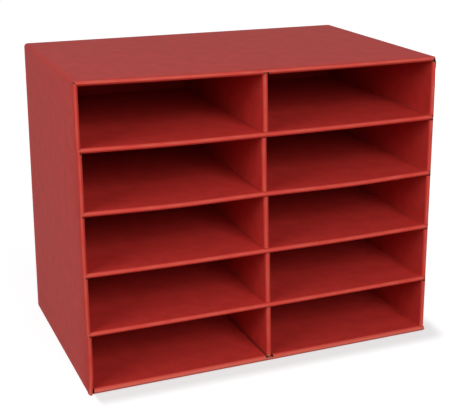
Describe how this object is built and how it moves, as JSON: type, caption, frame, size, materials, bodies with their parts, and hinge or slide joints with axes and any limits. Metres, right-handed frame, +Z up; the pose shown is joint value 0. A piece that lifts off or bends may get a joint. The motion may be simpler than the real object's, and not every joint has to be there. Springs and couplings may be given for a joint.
{
  "type": "shelf organizer",
  "caption": "Open-fronted paperboard organizer with rolled front edges, slotted shelves and a centre divider, for sorting paper flat.",
  "frame": {"origin": "middle of the footprint, on the surface that the organizer stands on", "axes": "+X to the right along the width, +Y to the rear (the open front faces -Y), +Z up"},
  "size_m": [0.5334, 0.327, 0.4318],
  "materials": {
    "case_board": "matte red liner",
    "shelf_board": "matte red liner"
  },
  "bodies": {
    "root": {"left_wall": "case_board", "right_wall": "case_board", "top_wall": "case_board", "bottom_wall": "case_board", "back_panel": "case_board", "divider": "shelf_board", "shelf_1": "shelf_board", "shelf_2": "shelf_board", "shelf_3": "shelf_board", "shelf_4": "shelf_board"}
  },
  "joints": []
}
